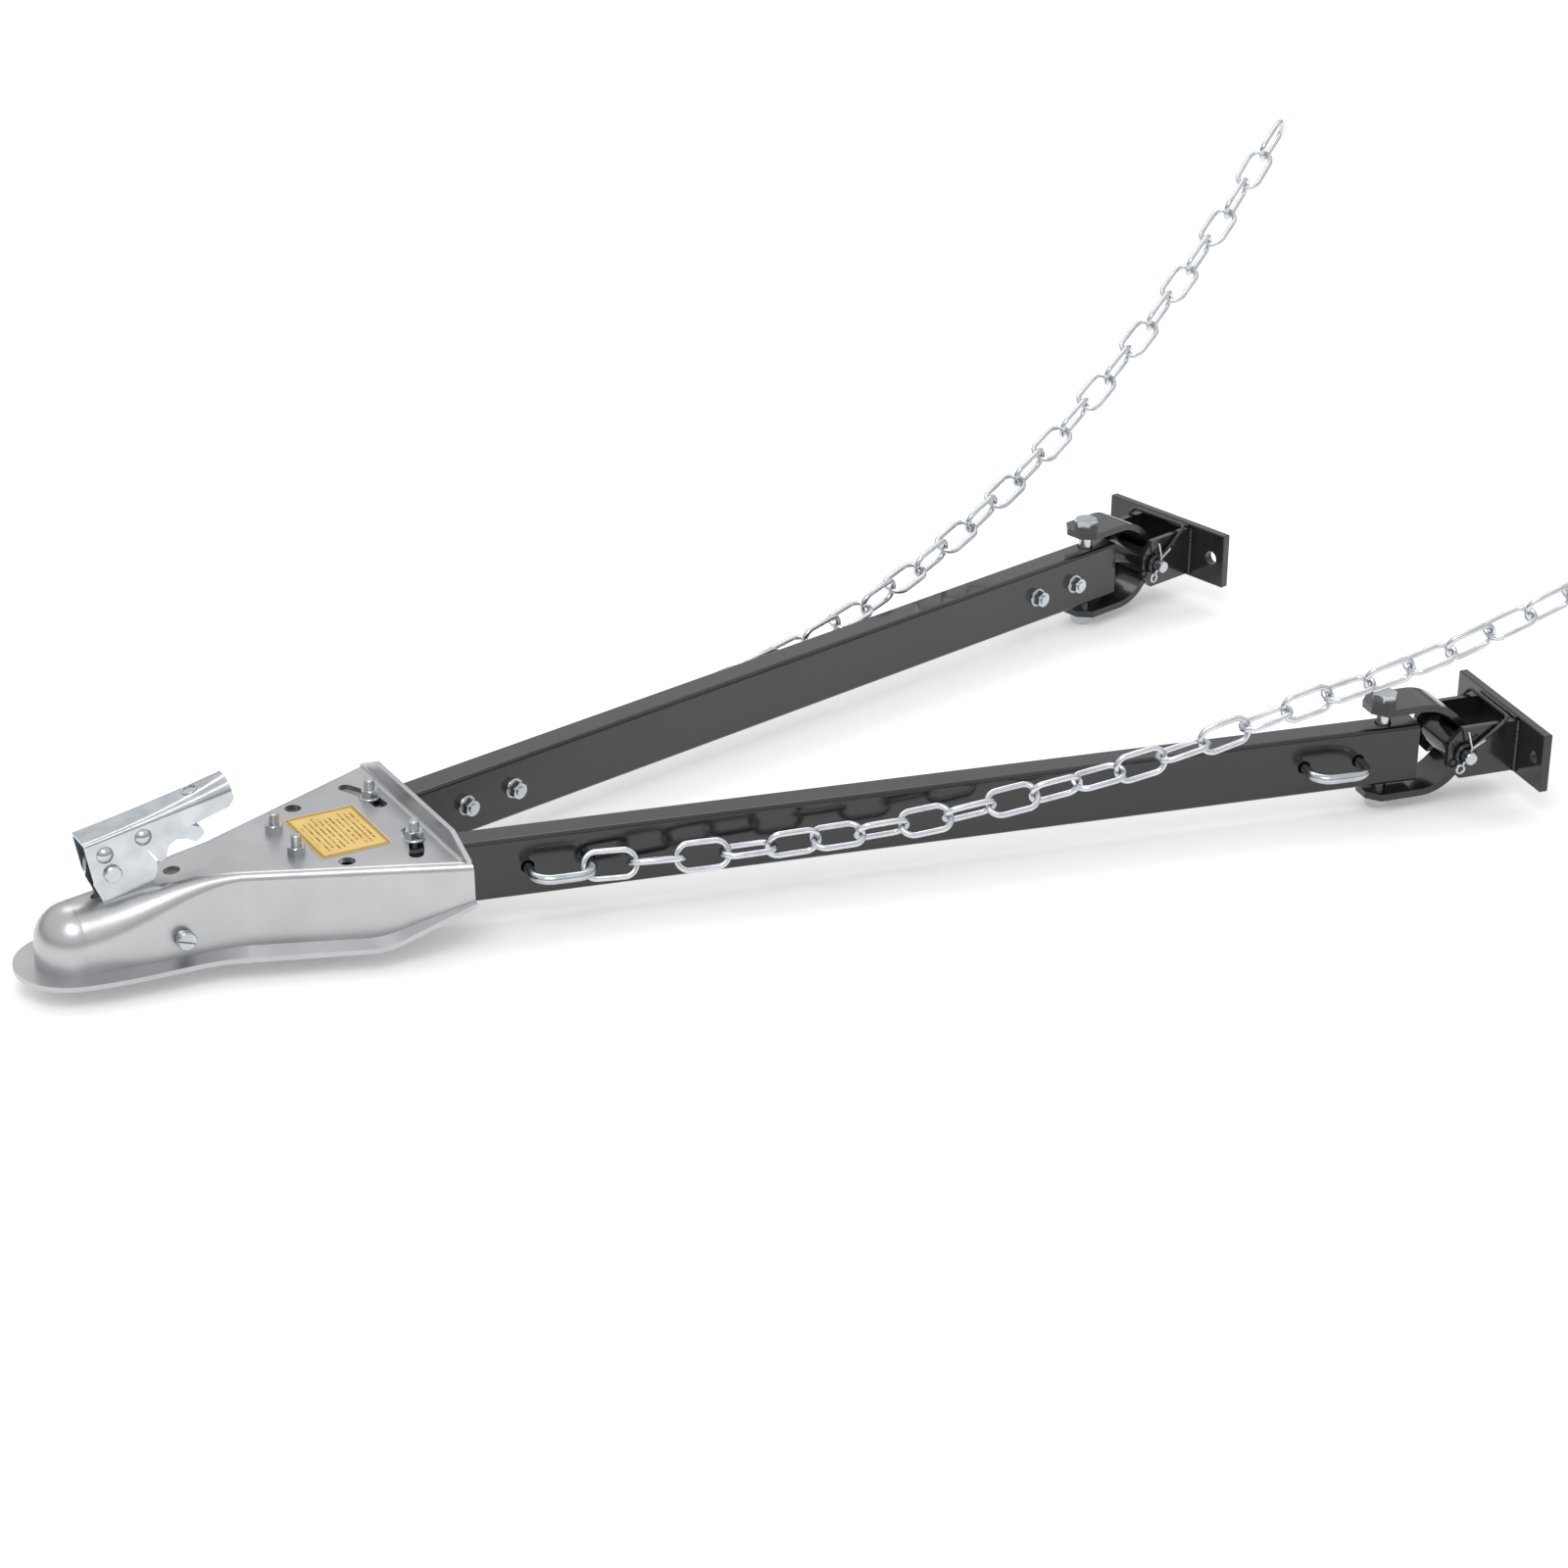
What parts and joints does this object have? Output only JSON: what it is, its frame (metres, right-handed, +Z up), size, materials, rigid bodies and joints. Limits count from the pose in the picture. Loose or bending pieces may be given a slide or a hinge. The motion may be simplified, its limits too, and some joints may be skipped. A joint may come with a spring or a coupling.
{
  "type": "adjustable tow bar",
  "caption": "Adjustable A-frame tow bar with a ball coupler, lever latch, two swinging arms, pivoting mounting brackets and safety chains.",
  "frame": {"origin": "centre of the tow ball in the coupler's socket", "axes": "+X rearward to the towed vehicle, +Y to the left arm's side, +Z up"},
  "size_m": [1.4841, 0.7537, 0.3855],
  "materials": {
    "silver_paint": "satin silver-grey paint",
    "black_powder_coat": "gloss black powder coat",
    "zinc_plate": "bright zinc plate",
    "chain_zinc": "bright zinc plate",
    "plain_steel": "oiled steel",
    "label": "gold film label"
  },
  "bodies": {
    "coupler": {"coupler_body": "silver_paint", "latch_housing": "zinc_plate", "rating_plate": "label", "clamp_cross_pin": "zinc_plate", "cross_pin_nut": "zinc_plate", "clamp_spring": "plain_steel", "pivot_bolts": "zinc_plate", "pivot_nuts": "zinc_plate", "lever_pivot_pins": "zinc_plate"},
    "lever": {"latch_lever": "zinc_plate", "draw_bolt_rivet": "zinc_plate", "trigger_rivet": "zinc_plate"},
    "trigger": {"lever_trigger": "zinc_plate"},
    "draw_bolt": {"draw_bolt": "plain_steel", "adjusting_nut": "plain_steel"},
    "ball_clamp": {"ball_clamp": "plain_steel"},
    "right_arm": {"right_arm_tube": "black_powder_coat", "right_u_bolts": "zinc_plate", "right_u_bolt_nuts": "zinc_plate", "right_lock_bolt": "zinc_plate", "right_lock_nut": "zinc_plate", "right_yoke_bolt": "zinc_plate", "right_yoke_nut": "zinc_plate"},
    "right_chain_1": {"right_chain_1": "chain_zinc"},
    "right_chain_2": {"right_chain_2": "chain_zinc"},
    "right_chain_3": {"right_chain_3": "chain_zinc"},
    "right_chain_4": {"right_chain_4": "chain_zinc"},
    "right_yoke": {"right_yoke_strap": "black_powder_coat", "right_yoke_bush": "black_powder_coat"},
    "right_bracket": {"right_bracket_channel": "black_powder_coat", "right_mounting_plate": "black_powder_coat", "right_hitch_pin": "zinc_plate", "right_cotter_pin": "zinc_plate"},
    "right_bail": {"right_pin_bail": "black_powder_coat"},
    "left_arm": {"left_arm_tube": "black_powder_coat", "left_u_bolts": "zinc_plate", "left_u_bolt_nuts": "zinc_plate", "left_lock_bolt": "zinc_plate", "left_lock_nut": "zinc_plate", "left_yoke_bolt": "zinc_plate", "left_yoke_nut": "zinc_plate"},
    "left_chain_1": {"left_chain_1": "chain_zinc"},
    "left_chain_2": {"left_chain_2": "chain_zinc"},
    "left_chain_3": {"left_chain_3": "chain_zinc"},
    "left_chain_4": {"left_chain_4": "chain_zinc"},
    "left_yoke": {"left_yoke_strap": "black_powder_coat", "left_yoke_bush": "black_powder_coat"},
    "left_bracket": {"left_bracket_channel": "black_powder_coat", "left_mounting_plate": "black_powder_coat", "left_hitch_pin": "zinc_plate", "left_cotter_pin": "zinc_plate"},
    "left_bail": {"left_pin_bail": "black_powder_coat"}
  },
  "joints": [
    {"name": "lever_open", "type": "hinge", "parent": "coupler", "child": "lever", "pos_m": [0.0293, 0, 0.0535], "axis": [0, -1, 0], "range_deg": [0, 75]},
    {"name": "trigger_pull", "type": "hinge", "parent": "lever", "child": "trigger", "pos_m": [0.05498, 0, 0.07738], "axis": [0, -1, 0], "range_deg": [0, 10], "stiffness_Nm_per_rad": 0.1, "springref_deg": -17.19},
    {"name": "draw_bolt_swing", "type": "hinge", "parent": "lever", "child": "draw_bolt", "pos_m": [0.02457, 0, 0.06971], "axis": [0, -1, 0], "range_deg": [-63, 0]},
    {"name": "clamp_drop", "type": "hinge", "parent": "coupler", "child": "ball_clamp", "pos_m": [0.0735, 0, -0.001], "axis": [0, -1, 0], "range_deg": [0, 18.5], "deforming": ["clamp_spring"]},
    {"name": "right_arm_swing", "type": "hinge", "parent": "coupler", "child": "right_arm", "pos_m": [0.1724, -0.0216, 0.01], "axis": [0, 0, -1], "range_deg": [-9, 16.5]},
    {"name": "right_yoke_swing", "type": "hinge", "parent": "right_arm", "child": "right_yoke", "pos_m": [1.05038, -0.21946, 0.014], "axis": [0, 0, 1], "range_deg": [-33, 27]},
    {"name": "right_bracket_pitch", "type": "hinge", "parent": "right_yoke", "child": "right_bracket", "pos_m": [1.11051, -0.22974, 0.012], "axis": [-0.1685, -0.9857, 0], "range_deg": [-60, 60]},
    {"name": "right_bail_lift", "type": "hinge", "parent": "right_bracket", "child": "right_bail", "pos_m": [1.11051, -0.22974, 0.012], "axis": [-0.1685, -0.9857, 0], "range_deg": [0, 50]},
    {"name": "right_chain_1_swing", "type": "hinge", "parent": "right_arm", "child": "right_chain_1", "pos_m": [0.38564, -0.09426, 0.01], "axis": [-0.2198, -0.9755, 0], "range_deg": [0, 15]},
    {"name": "right_chain_2_swing", "type": "hinge", "parent": "right_chain_1", "child": "right_chain_2", "pos_m": [0.66397, -0.16962, 0.02001], "axis": [-0.2198, -0.9755, 0], "range_deg": [0, 8]},
    {"name": "right_chain_3_swing", "type": "hinge", "parent": "right_chain_2", "child": "right_chain_3", "pos_m": [0.94039, -0.23559, 0.0774], "axis": [-0.2198, -0.9755, 0], "range_deg": [0, 8]},
    {"name": "right_chain_4_swing", "type": "hinge", "parent": "right_chain_3", "child": "right_chain_4", "pos_m": [1.20959, -0.29663, 0.16575], "axis": [-0.2198, -0.9755, 0], "range_deg": [0, 8]},
    {"name": "left_arm_swing", "type": "hinge", "parent": "coupler", "child": "left_arm", "pos_m": [0.1724, 0.0216, 0.01], "axis": [0, 0, 1], "range_deg": [-9, 16.5]},
    {"name": "left_yoke_swing", "type": "hinge", "parent": "left_arm", "child": "left_yoke", "pos_m": [1.05038, 0.21946, 0.014], "axis": [0, 0, -1], "range_deg": [-30, 30]},
    {"name": "left_bracket_pitch", "type": "hinge", "parent": "left_yoke", "child": "left_bracket", "pos_m": [1.10989, 0.23287, 0.012], "axis": [0.2198, -0.9755, 0], "range_deg": [-60, 60]},
    {"name": "left_bail_lift", "type": "hinge", "parent": "left_bracket", "child": "left_bail", "pos_m": [1.10989, 0.23287, 0.012], "axis": [0.2198, -0.9755, 0], "range_deg": [0, 50]},
    {"name": "left_chain_1_swing", "type": "hinge", "parent": "left_arm", "child": "left_chain_1", "pos_m": [0.38564, 0.09426, 0.01], "axis": [0.2198, -0.9755, 0], "range_deg": [0, 15]},
    {"name": "left_chain_2_swing", "type": "hinge", "parent": "left_chain_1", "child": "left_chain_2", "pos_m": [0.66589, 0.16348, 0.01433], "axis": [0.2198, -0.9755, 0], "range_deg": [0, 8]},
    {"name": "left_chain_3_swing", "type": "hinge", "parent": "left_chain_2", "child": "left_chain_3", "pos_m": [0.93915, 0.2404, 0.07142], "axis": [0.2198, -0.9755, 0], "range_deg": [0, 8]},
    {"name": "left_chain_4_swing", "type": "hinge", "parent": "left_chain_3", "child": "left_chain_4", "pos_m": [1.18661, 0.32575, 0.19569], "axis": [0.2198, -0.9755, 0], "range_deg": [0, 8]}
  ],
  "couplings": [
    {"joint": "draw_bolt_swing", "follows": "lever_open", "ratio": -0.829},
    {"joint": "clamp_drop", "follows": "lever_open", "ratio": 0.24}
  ]
}
